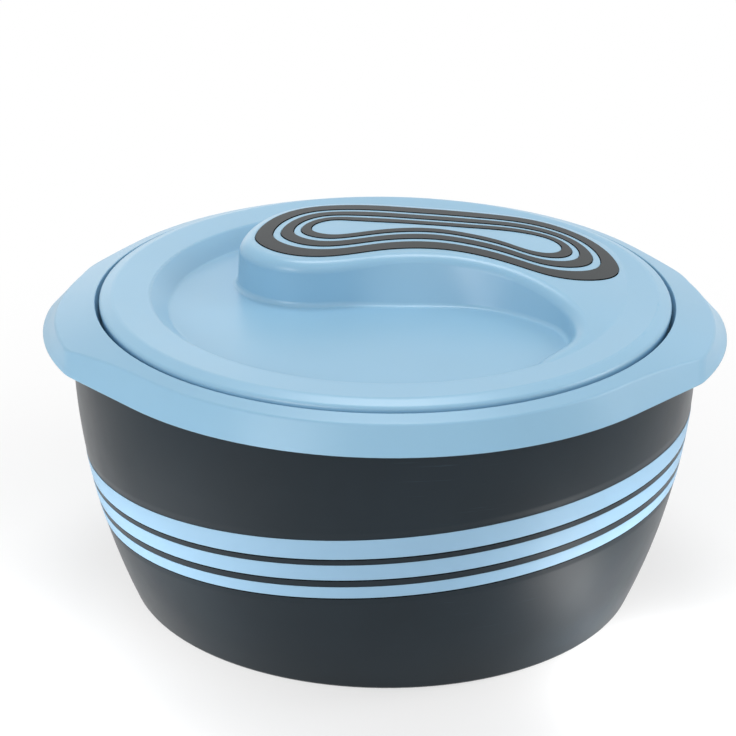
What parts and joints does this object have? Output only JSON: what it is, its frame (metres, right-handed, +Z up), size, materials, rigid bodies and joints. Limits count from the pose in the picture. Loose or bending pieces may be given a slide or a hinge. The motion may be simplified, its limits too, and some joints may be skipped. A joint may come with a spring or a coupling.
{
  "type": "insulated casserole",
  "caption": "Insulated serving casserole: a steel-lined bowl with a striped shell and finger ears, and a twist-locking lid with a raised kidney-shaped handle.",
  "frame": {"origin": "middle of the foot ring, on the surface that the bowl stands on", "axes": "+Z up along the bowl's axis, X through the two finger ears, -Y to the front, towards the lid's open recess"},
  "size_m": [0.2784, 0.2606, 0.1385],
  "materials": {
    "charcoal_shell": "satin moulded polypropylene, charcoal blue",
    "blue_stripe": "satin moulded polypropylene, pale blue",
    "blue_collar": "satin moulded polypropylene, pale blue",
    "blue_lid": "satin moulded polypropylene, pale blue",
    "grip_rubber": "soft moulded rubber, warm grey",
    "polished_steel": "spun stainless steel, polished",
    "silicone_gasket": "translucent white silicone",
    "silicone_seal": "translucent white silicone",
    "foam": "rigid foam, pale yellow",
    "base_plastic": "fine matt moulded polypropylene, charcoal",
    "inner_plate_plastic": "smooth moulded polypropylene, pale blue"
  },
  "bodies": {
    "bowl": {"outer_shell": "charcoal_shell", "upper_stripe": "blue_stripe", "middle_stripe": "blue_stripe", "lower_stripe": "blue_stripe", "rim_collar": "blue_collar", "steel_liner": "polished_steel", "liner_gasket": "silicone_gasket", "bowl_insulation": "foam", "base_plate": "base_plastic", "base_foam_plug": "base_plastic"},
    "seal": {"lid_seal": "silicone_seal"},
    "lid": {"lid_cover": "blue_lid", "outer_grip_ring": "grip_rubber", "middle_grip_ring": "grip_rubber", "inner_grip_ring": "grip_rubber", "lid_inner_plate": "inner_plate_plastic", "lid_insulation": "foam", "lid_foam_plug": "inner_plate_plastic"}
  },
  "joints": [
    {"name": "lid_lift", "type": "slide", "parent": "bowl", "child": "seal", "axis": [0, 0, 1], "range_m": [0, 0.15]},
    {"name": "lid_turn", "type": "hinge", "parent": "seal", "child": "lid", "pos_m": [0, 0, 0.117], "axis": [0, 0, -1], "range_deg": [0, 16.5]}
  ]
}
